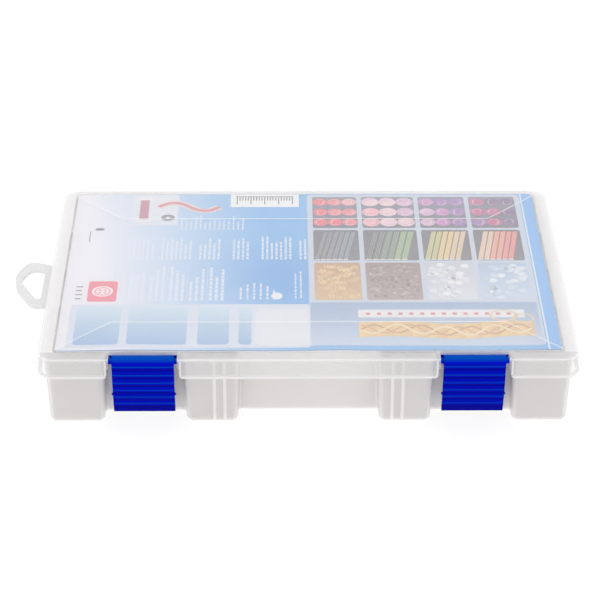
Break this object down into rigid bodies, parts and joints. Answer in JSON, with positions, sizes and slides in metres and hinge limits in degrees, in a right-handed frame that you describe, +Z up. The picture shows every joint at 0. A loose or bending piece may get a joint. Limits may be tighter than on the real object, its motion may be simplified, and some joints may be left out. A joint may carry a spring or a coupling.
{
  "type": "compartment storage box",
  "caption": "Flat hinged storage box for thread and small craft parts, with slide-in dividers, two snap latches, a hanging loop and a card under the clear lid.",
  "frame": {"origin": "on the floor, under the middle of the lid's rectangle", "axes": "+X to the right along the box's length, seen from the latches; +Y from the latches to the hinge; +Z up"},
  "size_m": [0.2928, 0.1892, 0.0413],
  "materials": {
    "tray_plastic": "frosted translucent polypropylene, satin",
    "lid_plastic": "frosted translucent polypropylene, semi-gloss",
    "latch_plastic": "glossy royal blue polypropylene",
    "divider_plastic": "frosted translucent polypropylene, satin",
    "printed_card": "printed, lightly coated"
  },
  "bodies": {
    "base": {"base_tray": "tray_plastic", "divider_row1_pos1": "divider_plastic", "divider_row1_pos2": "divider_plastic", "divider_row1_pos3": "divider_plastic", "divider_row1_pos4": "divider_plastic", "divider_row1_pos5": "divider_plastic", "divider_row2_pos1": "divider_plastic", "divider_row2_pos2": "divider_plastic", "divider_row2_pos3": "divider_plastic", "divider_row2_pos4": "divider_plastic", "divider_row2_pos5": "divider_plastic", "divider_row3_pos1": "divider_plastic", "divider_row3_pos2": "divider_plastic", "divider_row3_pos3": "divider_plastic", "divider_row3_pos4": "divider_plastic", "divider_row3_pos5": "divider_plastic", "divider_front_left": "divider_plastic", "divider_front_right": "divider_plastic"},
    "lid": {"lid": "lid_plastic", "insert_card": "printed_card"},
    "latch_left": {"latch_left": "latch_plastic"},
    "latch_right": {"latch_right": "latch_plastic"}
  },
  "joints": [
    {"name": "lid_hinge", "type": "hinge", "parent": "base", "child": "lid", "pos_m": [0, 0.094, 0.03], "axis": [-1, 0, 0], "range_deg": [0, 180]},
    {"name": "latch_left_pivot", "type": "hinge", "parent": "lid", "child": "latch_left", "pos_m": [-0.08325, -0.0883, 0.0373], "axis": [-1, 0, 0], "range_deg": [0, 110]},
    {"name": "latch_right_pivot", "type": "hinge", "parent": "lid", "child": "latch_right", "pos_m": [0.08325, -0.0883, 0.0373], "axis": [-1, 0, 0], "range_deg": [0, 110]}
  ]
}
